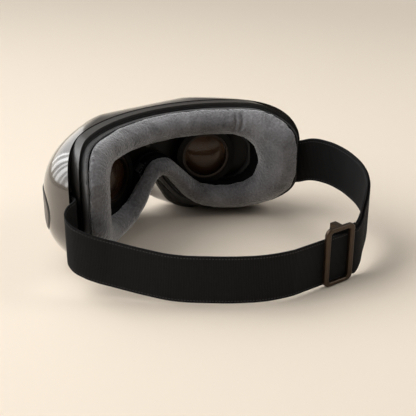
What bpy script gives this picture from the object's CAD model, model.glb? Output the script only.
import bmesh
import bpy
import math
from mathutils import Matrix, Vector, noise
from mathutils.kdtree import KDTree


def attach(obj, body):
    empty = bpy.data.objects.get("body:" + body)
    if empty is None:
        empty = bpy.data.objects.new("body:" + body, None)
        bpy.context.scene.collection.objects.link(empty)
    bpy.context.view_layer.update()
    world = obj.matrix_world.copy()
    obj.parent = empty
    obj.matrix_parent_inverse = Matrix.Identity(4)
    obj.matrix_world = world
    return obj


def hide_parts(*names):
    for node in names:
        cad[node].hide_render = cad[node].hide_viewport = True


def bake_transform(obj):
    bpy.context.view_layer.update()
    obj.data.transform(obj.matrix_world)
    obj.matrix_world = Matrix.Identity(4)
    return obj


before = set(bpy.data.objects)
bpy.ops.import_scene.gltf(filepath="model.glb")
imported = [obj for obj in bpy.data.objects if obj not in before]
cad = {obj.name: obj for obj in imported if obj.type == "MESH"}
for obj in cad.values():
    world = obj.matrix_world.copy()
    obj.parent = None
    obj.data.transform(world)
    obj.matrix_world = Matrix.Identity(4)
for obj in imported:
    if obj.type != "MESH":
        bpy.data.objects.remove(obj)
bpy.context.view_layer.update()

scene = bpy.context.scene
scene.view_settings.view_transform = "Standard"

# Camera: a short telephoto view from behind and above the wearer's left side,
# at the photograph's angle, with the goggles resting on the table.
camera_place = Vector((-0.34209, -0.52412, 0.30459))
camera_aim = Vector((-0.00010, -0.04064, 0.03665))
camera_data = bpy.data.cameras.new("camera")
camera_data.lens = 76.58
camera_data.sensor_width = 36.0
camera = bpy.data.objects.new("camera", camera_data)
camera.location = camera_place
camera.rotation_euler = (camera_aim - camera_place).to_track_quat("-Z", "Y").to_euler()
scene.collection.objects.link(camera)
scene.camera = camera


# Floor and studio light: a pale sheet that fades into a backdrop of the same colour, a soft box overhead,
# a fill at the front right, and a tall curtained window behind the left side, its folds as narrow brighter
# boxes. The camera's side of the room stays dim.
floor_size = 4.0
floor_colour = (0.80, 0.70, 0.58, 1.0)
floor_roughness = 0.85
backdrop_colour = (0.745, 0.660, 0.546, 1.0)
backdrop_near = 0.65
backdrop_far = 1.40
backdrop_full = 0.10
room_colour = (0.93, 0.91, 0.88, 1.0)
room_dim = 0.05
room_bright = 0.20
horizon_glow = 4.0
horizon_top = 0.30
open_spread = math.pi
window_spread = math.radians(100.0)
# Each lamp's name, place, width, height, power and spread.
lamps = (
    ("overhead_box", (-0.30, 0.05, 1.45), 1.00, 1.00, 3.60, open_spread),
    ("window_wide", (-1.40, 1.00, 1.25), 2.40, 2.60, 9.00, window_spread),
    ("window_back", (0.00, 1.78, 1.25), 1.60, 2.60, 5.60, window_spread),
    ("window_fold_a", (-1.43, 0.26, 1.10), 0.12, 2.30, 0.85, window_spread),
    ("window_fold_b", (-1.36, 0.56, 1.10), 0.24, 2.30, 2.10, window_spread),
    ("window_fold_c", (-1.22, 0.84, 1.10), 0.10, 2.30, 0.75, window_spread),
    ("window_fold_d", (-1.04, 1.06, 1.10), 0.28, 2.30, 2.35, window_spread),
    ("window_fold_e", (-0.80, 1.24, 1.10), 0.12, 2.30, 0.85, window_spread),
    ("window_fold_f", (-0.54, 1.38, 1.10), 0.22, 2.30, 1.75, window_spread),
    ("window_fold_g", (-0.26, 1.46, 1.10), 0.10, 2.30, 0.70, window_spread),
    ("window_side", (-1.50, -0.05, 0.95), 0.60, 1.20, 1.80, window_spread),
    ("front_fill", (1.20, -0.75, 1.15), 0.80, 0.80, 7.00, open_spread),
)


def linked(name, data):
    """New object at the origin that shows a mesh or a curve."""
    obj = bpy.data.objects.new(name, data)
    scene.collection.objects.link(obj)
    return obj


def mesh_of(bm, name):
    """Mesh from a finished bmesh, with smooth faces."""
    mesh = bpy.data.meshes.new(name)
    for face in bm.faces:
        face.smooth = True
    bm.to_mesh(mesh)
    bm.free()
    return mesh


def plain_material(name, colour, roughness):
    """Material and its Principled shader, with one colour and one roughness."""
    material = bpy.data.materials.new(name)
    material.use_nodes = True
    shader = material.node_tree.nodes["Principled BSDF"]
    shader.inputs["Base Color"].default_value = colour
    shader.inputs["Roughness"].default_value = roughness
    return material, shader


def add_node(tree, kind, inputs, **settings):
    """New shader node with its settings; each input is linked to an output, or else set to a value."""
    node = tree.nodes.new("ShaderNode" + kind)
    for name, value in settings.items():
        setattr(node, name, value)
    for name, value in inputs.items():
        if isinstance(value, bpy.types.NodeSocket):
            tree.links.new(value, node.inputs[name])
        else:
            node.inputs[name].default_value = value
    return node


def calc(tree, operation, *values):
    """Output of a Math node on outputs or numbers."""
    return add_node(tree, "Math", dict(enumerate(values)), operation=operation).outputs["Value"]


def ranged(tree, value, start, end, low, high, **settings):
    """Output of a Map Range node that takes start to end, to low to high."""
    inputs = {"Value": value, "From Min": start, "From Max": end, "To Min": low, "To Max": high}
    return add_node(tree, "MapRange", inputs, **settings).outputs["Result"]


def backdrop_mix(tree, near, far, share, output):
    """Show the far shader to the camera, mirrors and clear plastic where the share is 1; light is unchanged."""
    rays = add_node(tree, "LightPath", {}).outputs
    seen = calc(tree, "MAXIMUM", rays["Is Camera Ray"], rays["Is Glossy Ray"])
    seen = calc(tree, "MAXIMUM", seen, rays["Is Transmission Ray"])
    mix = add_node(tree, "MixShader", {"Fac": calc(tree, "MULTIPLY", seen, share), 1: near, 2: far})
    tree.links.new(mix.outputs["Shader"], output)


def soft_box(name, place, width, height, power, spread):
    """Rectangular lamp that looks at the middle of the goggles."""
    lamp = bpy.data.lights.new(name, "AREA")
    lamp.shape = "RECTANGLE"
    lamp.size = width
    lamp.size_y = height
    lamp.energy = power
    lamp.spread = spread
    obj = linked(name, lamp)
    obj.location = place
    obj.rotation_euler = (camera_aim - Vector(place)).to_track_quat("-Z", "Y").to_euler()
    obj.visible_camera = False


bm = bmesh.new()
bmesh.ops.create_grid(bm, x_segments=1, y_segments=1, size=floor_size / 2)
floor = linked("floor", mesh_of(bm, "floor"))
floor_material, floor_shader = plain_material("floor_sheet", floor_colour, floor_roughness)
tree = floor_material.node_tree
place = add_node(tree, "TexCoord", {}).outputs["Object"]
away = add_node(tree, "VectorMath", {0: place}, operation="LENGTH").outputs["Value"]
fade = ranged(tree, away, backdrop_near, backdrop_far, 0.0, 1.0, interpolation_type="SMOOTHSTEP")
paper = add_node(tree, "Emission", {"Color": backdrop_colour}).outputs["Emission"]
surface = tree.nodes["Material Output"].inputs["Surface"]
backdrop_mix(tree, floor_shader.outputs["BSDF"], paper, fade, surface)
floor.data.materials.append(floor_material)

for lamp_values in lamps:
    soft_box(*lamp_values)
world = bpy.data.worlds.new("studio")
world.use_nodes = True
tree = world.node_tree
way = add_node(tree, "TexCoord", {}).outputs["Generated"]
ways = add_node(tree, "SeparateXYZ", {"Vector": way}).outputs
graded = ranged(tree, ways["Y"], -1.0, 1.0, room_dim, room_bright)
glow = ranged(tree, ways["Z"], 0.0, horizon_top, horizon_glow, 1.0)
room = tree.nodes["Background"]
room.inputs["Color"].default_value = room_colour
tree.links.new(calc(tree, "MULTIPLY", graded, glow), room.inputs["Strength"])
paper = add_node(tree, "Background", {"Color": backdrop_colour}).outputs["Background"]
low = ranged(tree, ways["Z"], backdrop_full, horizon_top, 1.0, 0.0)
backdrop_mix(tree, room.outputs["Background"], paper, low, tree.nodes["World Output"].inputs["Surface"])
scene.world = world


# Front shell: one moulded cover in dark taupe plastic with a lacquered gloss.
# It carries every other piece, and the lacquer mirrors the room.
grain_depth = 0.0002


def moulded_group():
    """Node group for moulded parts and plain cloth: cloudy colour, uneven roughness and a fine grain."""
    tree = bpy.data.node_groups.new("moulded_finish", "ShaderNodeTree")
    for label in ("Dark", "Light"):
        tree.interface.new_socket(label, in_out="INPUT", socket_type="NodeSocketColor")
    for label in ("Cloud Scale", "Grain Scale", "Rough Low", "Rough High"):
        tree.interface.new_socket(label, in_out="INPUT", socket_type="NodeSocketFloat")
    tree.interface.new_socket("Color", in_out="OUTPUT", socket_type="NodeSocketColor")
    for label in ("Roughness", "Height"):
        tree.interface.new_socket(label, in_out="OUTPUT", socket_type="NodeSocketFloat")
    given = tree.nodes.new("NodeGroupInput").outputs
    made = tree.nodes.new("NodeGroupOutput").inputs
    place = add_node(tree, "TexCoord", {}).outputs["Object"]
    cloud = add_node(tree, "TexNoise", {"Vector": place, "Scale": given["Cloud Scale"], "Detail": 4.0})
    grain = add_node(tree, "TexNoise", {"Vector": place, "Scale": given["Grain Scale"], "Detail": 2.0})
    tones = {"Factor": cloud.outputs["Fac"], "A": given["Dark"], "B": given["Light"]}
    colour = add_node(tree, "Mix", tones, data_type="RGBA")
    rough = ranged(tree, grain.outputs["Fac"], 0.0, 1.0, given["Rough Low"], given["Rough High"])
    tree.links.new(colour.outputs["Result"], made["Color"])
    tree.links.new(rough, made["Roughness"])
    tree.links.new(grain.outputs["Fac"], made["Height"])
    return tree


moulded_finish = moulded_group()


def moulded(name, *, dark, light, cloud, grain, rough, bump, **constants):
    """Material with cloudy colour between two tones, a span of roughness, a fine grain and set constants."""
    material, shader = plain_material(name, dark + (1.0,), rough[0])
    tree = material.node_tree
    finish = tree.nodes.new("ShaderNodeGroup")
    finish.node_tree = moulded_finish
    finish.inputs["Dark"].default_value = dark + (1.0,)
    finish.inputs["Light"].default_value = light + (1.0,)
    finish.inputs["Cloud Scale"].default_value = cloud
    finish.inputs["Grain Scale"].default_value = grain
    finish.inputs["Rough Low"].default_value, finish.inputs["Rough High"].default_value = rough
    heights = {"Height": finish.outputs["Height"], "Strength": bump, "Distance": grain_depth}
    relief = add_node(tree, "Bump", heights)
    tree.links.new(finish.outputs["Color"], shader.inputs["Base Color"])
    tree.links.new(finish.outputs["Roughness"], shader.inputs["Roughness"])
    tree.links.new(relief.outputs["Normal"], shader.inputs["Normal"])
    for socket, value in constants.items():
        shader.inputs[socket.replace("_", " ")].default_value = value
    return material


def dress(material, *names):
    """Give CAD nodes a material."""
    for name in names:
        cad[name].data.materials.clear()
        cad[name].data.materials.append(material)


shell_lacquer = moulded(
    "shell_lacquer", dark=(0.030, 0.023, 0.018), light=(0.038, 0.030, 0.024), cloud=18.0, grain=900.0,
    rough=(0.12, 0.18), bump=0.02, IOR=1.62, Coat_Weight=1.0, Coat_Roughness=0.06,
)
dress(shell_lacquer, "front_shell")

# Rear frame and light seal: a satin charcoal moulding screwed to the shell,
# with a black rubber lip pushed into its rear edge.
frame_satin = moulded(
    "frame_satin", dark=(0.012, 0.0105, 0.0095), light=(0.018, 0.0155, 0.014), cloud=30.0, grain=2200.0,
    rough=(0.30, 0.42), bump=0.12, Coat_Weight=0.25, Coat_Roughness=0.25,
)
seal_rubber = moulded(
    "seal_rubber", dark=(0.008, 0.008, 0.008), light=(0.014, 0.014, 0.014), cloud=60.0, grain=3000.0,
    rough=(0.55, 0.7), bump=0.2,
)
dress(frame_satin, "rear_frame")
dress(seal_rubber, "light_seal")


# Face pad: foam in a plush cover that is sewn to a smooth side band along a stitched seam. The cover swells
# and is crowned between its edges, and its brushed pile shows two creases over the right eye.
wrap_axis_y = -0.07298
seam_radius = 0.10098
seam_hold = 0.0015
weld_gap = 0.00001
ease_factor = 0.5
pad_voxel = 0.0027
pad_rounds = 8
pad_swell = 0.0035
pad_pressure = 15.0
swell_frames = 20
swell_rounds = 5
pad_levels = 2
crown_rise = 0.0030
crown_reach = 0.0105
side_facing = 0.5
pile_depth = 0.0003
pile_size = 0.0016
pile_gain = 1.0
pile_lacunarity = 2.0
pile_octaves = 3
crease_places = (0.0548, 0.0590)
crease_width = 0.0011
crease_depth = 0.0022
crease_middle = 0.081
crease_reach = 0.0075
crease_lean = 0.12
plush_colour = (0.25, 0.245, 0.245, 1.0)
plush_dark = (0.062, 0.060, 0.063, 1.0)
plush_light = (0.29, 0.285, 0.295, 1.0)
plush_dark_at = 0.44
plush_light_at = 0.92
plush_roughness = 0.9
brushed_share = 0.7
nap_share = 0.6
nap_depth = 0.0009
nap_strength = 0.8


def settled(obj):
    """Replace an object's mesh by what its modifiers make of it."""
    graph = bpy.context.evaluated_depsgraph_get()
    mesh = bpy.data.meshes.new_from_object(obj.evaluated_get(graph))
    obj.modifiers.clear()
    obj.data = mesh


def ease(obj, rounds):
    """Add a modifier that softens an object's corners and lumps."""
    eased = obj.modifiers.new("eased", "SMOOTH")
    eased.factor = ease_factor
    eased.iterations = rounds


def welded(source):
    """Bmesh of a CAD node with its seams between faces closed."""
    bm = bmesh.new()
    bm.from_mesh(source.data)
    bmesh.ops.remove_doubles(bm, verts=bm.verts, dist=weld_gap)
    return bm


def even_copy(source, name, voxel, rounds):
    """Copy of a CAD node's form with an even mesh and softened corners."""
    obj = linked(name, mesh_of(welded(source), name))
    remesh = obj.modifiers.new("even", "REMESH")
    remesh.mode = "VOXEL"
    remesh.voxel_size = voxel
    ease(obj, rounds)
    settled(obj)
    return obj


def axis_distance(place):
    """Distance in plan from the axis that the pad wraps round."""
    return math.hypot(place.x, place.y - wrap_axis_y)


def swollen(obj, cap):
    """Let a sewn cover swell under pressure; its seam stays, and no point moves further than the cap."""
    start = [v.co.copy() for v in obj.data.vertices]
    held = [i for i, place in enumerate(start) if axis_distance(place) > seam_radius - seam_hold]
    sewn = obj.vertex_groups.new(name="sewn")
    sewn.add(held, 1.0, "ADD")
    cloth = obj.modifiers.new("stuffing", "CLOTH")
    cloth.settings.vertex_group_mass = "sewn"
    cloth.settings.use_pressure = True
    cloth.settings.uniform_pressure_force = pad_pressure
    cloth.settings.effector_weights.gravity = 0.0
    for number in range(1, swell_frames + 1):
        scene.frame_set(number)
    settled(obj)
    scene.frame_set(1)
    for vertex, place in zip(obj.data.vertices, start):
        move = vertex.co - place
        if move.length > cap:
            vertex.co = place + move.normalized() * cap


def crease(place):
    """Depth of the creases at a place on the pad, as a share."""
    along = max(0.0, 1.0 - ((place.z - crease_middle) / crease_reach) ** 2)
    lean = crease_lean * (place.z - crease_middle)
    return along * sum(math.exp(-(((place.x - x - lean) / crease_width) ** 2)) for x in crease_places)


def inward(place):
    """Direction from a place on the pad to the middle of the wearer's head."""
    return Vector((-place.x, wrap_axis_y - place.y, 0.0)).normalized()


face_pad = even_copy(cad["face_pad"], "plush_pad", pad_voxel, pad_rounds)
swollen(face_pad, pad_swell)
ease(face_pad, swell_rounds)
finer = face_pad.modifiers.new("finer", "SUBSURF")
finer.levels = pad_levels
finer.render_levels = pad_levels
settled(face_pad)

sides = [v.co for v in face_pad.data.vertices if v.normal.dot(inward(v.co)) < side_facing]
edges = KDTree(len(sides))
for number, place in enumerate(sides):
    edges.insert(place, number)
edges.balance()
moves = []
for vertex in face_pad.data.vertices:
    share = min(edges.find(vertex.co)[2] / crown_reach, 1.0)
    crown = crown_rise * (1.0 - (1.0 - share) ** 2)
    pile = pile_depth * noise.fractal(vertex.co / pile_size, pile_gain, pile_lacunarity, pile_octaves)
    moves.append(inward(vertex.co) * crown + vertex.normal * (pile - crease_depth * crease(vertex.co)))
for vertex, move in zip(face_pad.data.vertices, moves):
    vertex.co += move
face_pad.data.shade_smooth()

plush, plush_shader = plain_material("plush_pile", plush_colour, plush_roughness)
plush_shader.inputs["Sheen Weight"].default_value = 1.0
plush_shader.inputs["Sheen Roughness"].default_value = 0.45
plush_shader.inputs["Specular IOR Level"].default_value = 0.2
tree = plush.node_tree
place = add_node(tree, "TexCoord", {}).outputs["Object"]
brushed = add_node(tree, "TexNoise", {"Vector": place, "Scale": 42.0, "Detail": 5.0, "Distortion": 0.6})
nap = add_node(tree, "TexNoise", {"Vector": place, "Scale": 620.0, "Detail": 4.0, "Roughness": 0.7})
faint = calc(tree, "MULTIPLY", brushed.outputs["Fac"], brushed_share)
tone = calc(tree, "MULTIPLY_ADD", nap.outputs["Fac"], nap_share, faint)
shades = add_node(tree, "ValToRGB", {"Fac": tone})
dark_end, light_end = shades.color_ramp.elements
dark_end.position = plush_dark_at
dark_end.color = plush_dark
light_end.position = plush_light_at
light_end.color = plush_light
heights = {"Height": nap.outputs["Fac"], "Strength": nap_strength, "Distance": nap_depth}
relief = add_node(tree, "Bump", heights)
tree.links.new(shades.outputs["Color"], plush_shader.inputs["Base Color"])
tree.links.new(relief.outputs["Normal"], plush_shader.inputs["Normal"])
face_pad.data.materials.clear()
face_pad.data.materials.append(plush)
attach(face_pad, "body")
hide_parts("face_pad")

# Side band of the pad: a strip of smooth knitted cloth over the foam, between the plush and the frame.
# It is sewn to the plush along its rear edge and glued to the carrier, and lined in black in the opening.
opening_middles = (Vector((-0.042, 0, 0.048)), Vector((0.042, 0, 0.048)), Vector((0, 0, 0.0635)))
band_voxel = 0.0015
band_rounds = 4
band_cloth = moulded(
    "band_cloth", dark=(0.085, 0.082, 0.082), light=(0.115, 0.112, 0.112), cloud=70.0, grain=1800.0,
    rough=(0.75, 0.9), bump=0.5, Sheen_Weight=0.15,
)
lining_black = moulded(
    "lining_black", dark=(0.0020, 0.0020, 0.0020), light=(0.0040, 0.0040, 0.0040), cloud=70.0, grain=1800.0,
    rough=(0.8, 0.95), bump=0.5, Specular_IOR_Level=0.10,
)


def faces_opening(face):
    """Whether a face of the side band looks into the opening for the eyes."""
    aways = [Vector((face.center.x - m.x, 0, face.center.z - m.z)) for m in opening_middles]
    return min(aways, key=lambda away: away.length).dot(face.normal) < 0


side_band = even_copy(cad["pad_gusset"], "pad_side_band", band_voxel, band_rounds)
side_band.data.shade_smooth()
side_band.data.materials.clear()
side_band.data.materials.append(band_cloth)
side_band.data.materials.append(lining_black)
for face in side_band.data.polygons:
    face.material_index = 1 if faces_opening(face) else 0
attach(side_band, "body")
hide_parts("pad_gusset")

# Seam between plush and side band: a thin piping along the band's rear edge, with a row of small
# dark stitches beside it that hold the two covers together.
rear_depth = 0.0003
piping_radius = 0.00055
piping_step = 0.002
stitch_step = 0.0032
stitch_half = (0.0011, 0.00030, 0.00030)
stitch_setback = Vector((0, 0.0011, 0))


def rear_edge(source):
    """Points in order round the outer rear edge of a CAD node of the pad."""
    bm = welded(source)
    nearest = min(axis_distance(v.co) for v in bm.verts)
    rear = {f for f in bm.faces if all(axis_distance(v.co) < nearest + rear_depth for v in f.verts)}
    rim = {e for e in bm.edges if sum(f in rear for f in e.link_faces) == 1}
    line = [max((v for e in rim for v in e.verts), key=lambda v: v.co.x)]
    while True:
        step = next((e for e in line[-1].link_edges if e in rim), None)
        if step is None:
            break
        rim.discard(step)
        line.append(step.other_vert(line[-1]))
    places = [v.co.copy() for v in line[:-1]]
    bm.free()
    return places


def even_spots(places, step):
    """Evenly spaced points round a closed line, each with the line's direction."""
    spots = []
    run = 0.0
    for start, end in zip(places, places[1:] + places[:1]):
        way = end - start
        while run < way.length:
            spots.append((start + way.normalized() * run, way.normalized()))
            run += step
        run -= way.length
    return spots


def piping_mesh(places, radius):
    """Round tube along a closed line."""
    curve = bpy.data.curves.new("piping_line", "CURVE")
    curve.dimensions = "3D"
    curve.bevel_depth = radius
    curve.bevel_resolution = 2
    spline = curve.splines.new("POLY")
    spline.points.add(len(places) - 1)
    for point, place in zip(spline.points, places):
        point.co = place.to_4d()
    spline.use_cyclic_u = True
    line = linked("piping_line", curve)
    mesh = bpy.data.meshes.new_from_object(line)
    bpy.data.objects.remove(line)
    return mesh


seam_places = rear_edge(cad["pad_gusset"])
bm = bmesh.new()
bm.from_mesh(piping_mesh([spot for spot, way in even_spots(seam_places, piping_step)], piping_radius))
for spot, way in even_spots(seam_places, stitch_step):
    turn = way.to_track_quat("X", "Z").to_matrix().to_4x4()
    place = Matrix.Translation(spot + stitch_setback) @ turn @ Matrix.Diagonal(stitch_half + (1.0,))
    bmesh.ops.create_uvsphere(bm, u_segments=6, v_segments=4, radius=1.0, matrix=place)
seam = linked("pad_seam", mesh_of(bm, "pad_seam"))
thread = moulded(
    "seam_thread", dark=(0.030, 0.029, 0.029), light=(0.050, 0.049, 0.049), cloud=200.0, grain=3000.0,
    rough=(0.7, 0.85), bump=0.4,
)
seam.data.materials.append(thread)
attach(seam, "body")

# Inner panel and eye barrels: dark mouldings behind the pad's opening,
# each barrel holding a thin taupe bezel round a clear glossy dome.
panel_satin = moulded(
    "panel_satin", dark=(0.0060, 0.0044, 0.0034), light=(0.0090, 0.0065, 0.0050), cloud=25.0, grain=2200.0,
    rough=(0.34, 0.46), bump=0.15, Specular_IOR_Level=0.20,
)
barrel_black = moulded(
    "barrel_black", dark=(0.003, 0.0028, 0.0026), light=(0.005, 0.0047, 0.0044), cloud=40.0, grain=2600.0,
    rough=(0.42, 0.55), bump=0.1, Specular_IOR_Level=0.12,
)
bezel_taupe = moulded(
    "bezel_taupe", dark=(0.022, 0.015, 0.011), light=(0.032, 0.022, 0.016), cloud=60.0, grain=2600.0,
    rough=(0.25, 0.36), bump=0.05, Metallic=0.6,
)
dome_gloss = moulded(
    "dome_gloss", dark=(0.46, 0.37, 0.29), light=(0.52, 0.42, 0.33), cloud=30.0, grain=600.0,
    rough=(0.02, 0.04), bump=0.0, Transmission_Weight=1.0, IOR=1.36,
)
dress(panel_satin, "inner_panel")
dress(barrel_black, "lens_barrel_left", "lens_barrel_right")
dress(bezel_taupe, "lens_bezel_left", "lens_bezel_right")
dress(dome_gloss, "eye_dome_left", "eye_dome_right")

# Side button: a matt taupe disc that follows the shell's curve,
# in a thin black ring clipped into the shell.
button_matt = moulded(
    "button_matt", dark=(0.085, 0.074, 0.066), light=(0.105, 0.092, 0.083), cloud=60.0, grain=2600.0,
    rough=(0.42, 0.55), bump=0.2,
)
ring_black = moulded(
    "ring_black", dark=(0.008, 0.008, 0.008), light=(0.012, 0.012, 0.012), cloud=60.0, grain=2600.0,
    rough=(0.35, 0.5), bump=0.1,
)
dress(button_matt, "side_button")
dress(ring_black, "button_ring")


# Head strap: black elastic webbing with fine ribs across it and a bound edge, looped round a bar at each
# temple. Its second layer runs back inside the right run to the slider, where its end is sewn into a loop.
strap_width = 0.035
strap_thickness = 0.0013
strap_bevel = strap_thickness / 3
layer_step = 0.0018
half_span = 0.09895
reach = 0.1293
low_z = 0.0018
anchor_z = 0.0285
entry_y = -0.024
entry_ease = Vector((0, 0.002, 0))
bar_x = 0.0966
bar_y = -0.003
loop_radius = 0.00235
left_loop_angles = (-130.0, 180.0)
right_loop_angles = (0.0, 310.0)
straight_left = 0.0085
straight_right = 0.0648
straight_ease = 0.002
line_steps = 8
bar_steps = 40
left_run_shares = (
    (-1.010, -0.206, 1.00),
    (-1.044, -0.220, 0.98),
    (-1.094, -0.234, 0.91),
    (-1.128, -0.260, 0.78),
    (-1.126, -0.302, 0.63),
    (-1.087, -0.356, 0.51),
    (-1.019, -0.410, 0.39),
    (-0.930, -0.468, 0.28),
    (-0.775, -0.590, 0.13),
    (-0.640, -0.695, 0.04),
    (-0.440, -0.820, 0.02),
    (-0.270, -0.911, 0.02),
    (-0.110, -0.968, 0.01),
)
right_run_shares = (
    (0.715, -0.986, 0.14),
    (0.800, -0.940, 0.36),
    (0.925, -0.868, 0.54),
    (1.045, -0.775, 0.68),
    (1.135, -0.660, 0.81),
    (1.180, -0.540, 0.91),
    (1.185, -0.430, 1.00),
    (1.145, -0.335, 1.08),
    (1.075, -0.258, 1.11),
)
column_shares = (0.0, 0.03, 0.06, 0.28, 0.5, 0.72, 0.94, 0.97, 1.0)
elastic_colour = (0.0035, 0.0035, 0.0038, 1.0)
elastic_dark = (0.0020, 0.0020, 0.0022)
elastic_light = (0.0120, 0.0120, 0.0126)
elastic_roughness = 0.8
rib_period = 0.0011
weave_period = 0.0007
weave_share = 0.35
weave_depth = 0.00012
weave_strength = 0.7
binding_start = strap_width / 2 - 0.0024
binding_end = strap_width / 2 - 0.0018
binding_height = 1.6
edge_stitch_at = strap_width / 2 - 0.0017
edge_stitch_half = 0.00025
edge_stitch_period = 0.0021
edge_stitch_gap = -0.2
edge_stitch_colour = (0.055, 0.055, 0.057, 1.0)


def run_places(shares):
    """Places of the strap's lower edge, from shares of its span, reach and height."""
    return [Vector((x * half_span, y * reach, low_z + up * (anchor_z - low_z))) for x, y, up in shares]


def smooth_line(places):
    """Points along a smooth curve through the places."""
    curve = bpy.data.curves.new("strap_line", "CURVE")
    curve.dimensions = "3D"
    curve.resolution_u = line_steps
    spline = curve.splines.new("BEZIER")
    spline.bezier_points.add(len(places) - 1)
    for point, place in zip(spline.bezier_points, places):
        point.co = place
        point.handle_left_type = "AUTO"
        point.handle_right_type = "AUTO"
    line = linked("strap_line", curve)
    mesh = bpy.data.meshes.new_from_object(line)
    points = [v.co.copy() for v in mesh.vertices]
    bpy.data.objects.remove(line)
    bpy.data.meshes.remove(mesh)
    return points


def turn_about(centre, ends, steps):
    """Points of a strap loop in plan, round a bar or pin, between two end angles in degrees."""
    first, last = ends
    angles = [math.radians(first + (last - first) * i / steps) for i in range(steps + 1)]
    return [centre + Vector((math.cos(a), math.sin(a), 0)) * loop_radius for a in angles]


def moved_aside(points, aside):
    """The same line moved sideways, to the left of its direction."""
    moved = []
    for i, point in enumerate(points):
        way = points[min(i + 1, len(points) - 1)] - points[max(i - 1, 0)]
        moved.append(point + Vector((-way.y, way.x, 0)).normalized() * aside)
    return moved


def elastic_webbing():
    """Black elastic: ribs across the strap, a fine weave along it and a bound, stitched edge."""
    material, shader = plain_material("elastic_webbing", elastic_colour, elastic_roughness)
    shader.inputs["Specular IOR Level"].default_value = 0.14
    shader.inputs["Sheen Weight"].default_value = 0.015
    shader.inputs["Sheen Roughness"].default_value = 0.5
    tree = material.node_tree
    along = add_node(tree, "Attribute", {}, attribute_name="along").outputs["Fac"]
    across = add_node(tree, "Attribute", {}, attribute_name="across").outputs["Fac"]

    def waves(source, period):
        """Output that rises and falls once in each period of the strap's length or height."""
        return calc(tree, "SINE", calc(tree, "MULTIPLY", source, 2 * math.pi / period))

    cloth = calc(tree, "MULTIPLY_ADD", waves(across, weave_period), weave_share, waves(along, rib_period))
    off_middle = calc(tree, "ABSOLUTE", calc(tree, "SUBTRACT", across, strap_width / 2))
    binding = ranged(tree, off_middle, binding_start, binding_end, 0.0, binding_height)
    row = calc(tree, "COMPARE", off_middle, edge_stitch_at, edge_stitch_half)
    dash = calc(tree, "GREATER_THAN", waves(along, edge_stitch_period), edge_stitch_gap)
    crest = Vector((1.0, 1.0, 1.0)) * (1.0 + weave_share)
    tones = {
        "Vector": cloth, "From Min": -crest, "From Max": crest, "To Min": elastic_dark, "To Max": elastic_light,
    }
    shades = add_node(tree, "MapRange", tones, data_type="FLOAT_VECTOR").outputs["Vector"]
    stitched = {"Factor": calc(tree, "MULTIPLY", row, dash), "A": shades, "B": edge_stitch_colour}
    sewn = add_node(tree, "Mix", stitched, data_type="RGBA")
    heights = {
        "Height": calc(tree, "ADD", cloth, binding), "Strength": weave_strength, "Distance": weave_depth,
    }
    relief = add_node(tree, "Bump", heights)
    tree.links.new(sewn.outputs["Result"], shader.inputs["Base Color"])
    tree.links.new(relief.outputs["Normal"], shader.inputs["Normal"])
    return material


elastic = elastic_webbing()


def webbing(name, points):
    """Upright webbing along the points of its lower edge, with its length and height kept as attributes."""
    bm = bmesh.new()
    along = bm.verts.layers.float.new("along")
    across = bm.verts.layers.float.new("across")
    column = []
    for share in column_shares:
        vertex = bm.verts.new(points[0] + Vector((0, 0, share * strap_width)))
        vertex[across] = share * strap_width
        column.append(vertex)
    edges = [bm.edges.new(pair) for pair in zip(column, column[1:])]
    run = 0.0
    for before, after in zip(points, points[1:]):
        run += (after - before).length
        grown = bmesh.ops.extrude_edge_only(bm, edges=edges)["geom"]
        verts = [item for item in grown if isinstance(item, bmesh.types.BMVert)]
        verts.sort(key=lambda v: v.co.z)
        bmesh.ops.translate(bm, verts=verts, vec=after - before)
        for vertex, share in zip(verts, column_shares):
            vertex[along] = run
            vertex[across] = share * strap_width
        edges = [item for item in grown if isinstance(item, bmesh.types.BMEdge)]
        edges = [edge for edge in edges if edge.verts[0] in verts and edge.verts[1] in verts]
    bmesh.ops.recalc_face_normals(bm, faces=bm.faces)
    obj = linked(name, mesh_of(bm, name))
    wall = obj.modifiers.new("wall", "SOLIDIFY")
    wall.thickness = strap_thickness
    wall.offset = 0.0
    soft = obj.modifiers.new("soft_edge", "BEVEL")
    soft.width = strap_bevel
    soft.segments = 2
    settled(obj)
    obj.data.shade_smooth()
    obj.data.materials.clear()
    obj.data.materials.append(elastic)
    return obj


straight_places = [
    Vector((x, -reach, low_z))
    for x in (straight_left, straight_left + straight_ease, straight_right - straight_ease, straight_right)
]
left_entry = Vector((-half_span, entry_y, anchor_z))
right_entry = Vector((half_span, entry_y, anchor_z))
left_places = [left_entry + entry_ease, left_entry] + run_places(left_run_shares) + straight_places[:2]
right_places = straight_places[2:] + run_places(right_run_shares) + [right_entry, right_entry + entry_ease]
left_loop = turn_about(Vector((-bar_x, bar_y, anchor_z)), left_loop_angles, bar_steps)
right_loop = turn_about(Vector((bar_x, bar_y, anchor_z)), right_loop_angles, bar_steps)
strap_line = left_loop + smooth_line(left_places) + smooth_line(right_places) + right_loop
head_strap = webbing("head_strap_webbing", strap_line)
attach(head_strap, "body")
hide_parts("head_strap")

# Strap return: the strap's second layer, from the slider back along the inside of the right run
# to the temple. It starts a little higher than the strap, and it stretches as the slider moves.
return_rise = 0.004
return_rise_shares = (1.0, 1.0, 1.0, 0.9, 0.7, 0.45, 0.2, 0.05, 0.0, 0.0, 0.0, 0.0, 0.0)
return_start_x = 0.0654
return_bend_y = -0.11
return_end = [Vector((0.09715, -0.0106, anchor_z)), Vector((0.09425, -0.0066, anchor_z))]
return_places = [
    place + Vector((0, 0, share * return_rise)) for place, share in zip(right_places, return_rise_shares)
]
return_line = moved_aside(smooth_line(return_places), layer_step)
return_line = [p for p in return_line if p.x > return_start_x or p.y > return_bend_y]
strap_return = webbing("strap_return_webbing", return_line + return_end)
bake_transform(strap_return)
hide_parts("strap_return")

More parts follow.
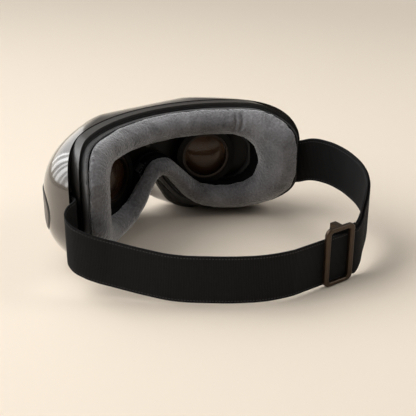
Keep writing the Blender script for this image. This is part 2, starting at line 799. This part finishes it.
# Strap end loop: the end of the second layer, turned round the slider's pin and sewn back on itself.
# It moves with the slider.
pin_place = Vector((0.0465, -0.12515, low_z + return_rise))
pin_angles = (-90.0, -350.0)
pin_steps = 36
tail_end_x = 0.0647
tail_steps = 12
tail_step = (tail_end_x - pin_place.x) / tail_steps
end_tail = [Vector((tail_end_x - tail_step * i, layer_step - reach, pin_place.z)) for i in range(tail_steps)]
end_turn = turn_about(pin_place, pin_angles, pin_steps)
end_loop = webbing("strap_end_webbing", end_tail + end_turn)
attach(end_loop, "slider")
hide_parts("strap_end_loop")

# Strap slider: a die-cast rectangular buckle with rounded bars,
# in a dark bronze coat.
slider_bronze = moulded(
    "slider_bronze", dark=(0.044, 0.028, 0.017), light=(0.064, 0.041, 0.026), cloud=80.0, grain=2600.0,
    rough=(0.26, 0.40), bump=0.1, Metallic=0.7,
)
dress(slider_bronze, "strap_slider")

# Works inside the shell: boards, battery, inlet, switch, heaters, motors, screws, bars and fixings,
# each in the plain finish of the bought part.
carrier_black = moulded(
    "carrier_black", dark=(0.014, 0.014, 0.014), light=(0.022, 0.022, 0.022), cloud=60.0, grain=2400.0,
    rough=(0.5, 0.62), bump=0.2,
)
hook_tape = moulded(
    "hook_tape", dark=(0.012, 0.012, 0.012), light=(0.030, 0.030, 0.030), cloud=900.0, grain=1400.0,
    rough=(0.8, 0.95), bump=0.9,
)
board_green = moulded(
    "board_green", dark=(0.004, 0.018, 0.010), light=(0.006, 0.026, 0.014), cloud=120.0, grain=2000.0,
    rough=(0.35, 0.5), bump=0.1,
)
chip_black = moulded(
    "chip_black", dark=(0.010, 0.010, 0.010), light=(0.018, 0.018, 0.018), cloud=90.0, grain=2600.0,
    rough=(0.5, 0.65), bump=0.2,
)
battery_foil = moulded(
    "battery_foil", dark=(0.42, 0.42, 0.44), light=(0.56, 0.56, 0.58), cloud=90.0, grain=700.0,
    rough=(0.25, 0.4), bump=0.3, Metallic=0.9,
)
steel = moulded(
    "steel", dark=(0.42, 0.42, 0.42), light=(0.55, 0.55, 0.55), cloud=90.0, grain=1800.0,
    rough=(0.22, 0.36), bump=0.1, Metallic=1.0,
)
screw_steel = moulded(
    "screw_steel", dark=(0.045, 0.043, 0.041), light=(0.075, 0.072, 0.070), cloud=90.0, grain=1800.0,
    rough=(0.3, 0.42), bump=0.1, Metallic=0.9,
)
weight_brass = moulded(
    "weight_brass", dark=(0.45, 0.31, 0.12), light=(0.58, 0.42, 0.18), cloud=120.0, grain=1800.0,
    rough=(0.28, 0.4), bump=0.1, Metallic=1.0,
)
heater_film = moulded(
    "heater_film", dark=(0.13, 0.075, 0.042), light=(0.17, 0.100, 0.058), cloud=120.0, grain=900.0,
    rough=(0.4, 0.55), bump=0.02,
)
dress(carrier_black, "pad_carrier", "barrel_cover_left", "barrel_cover_right")
dress(hook_tape, "hook_loop_ring")
dress(board_green, "main_board", "charging_board", "button_board")
dress(chip_black, "board_chips", "tact_switch")
dress(battery_foil, "battery")
dress(steel, "charging_port", "strap_bar_left", "strap_bar_right")
dress(steel, "vibration_motor_left", "vibration_motor_right", "motor_shaft_left", "motor_shaft_right")
dress(screw_steel, "frame_screws", "panel_screw", "board_screws")
dress(weight_brass, "eccentric_weight_left", "eccentric_weight_right")
dress(heater_film, "heater_disc_left", "heater_disc_right")
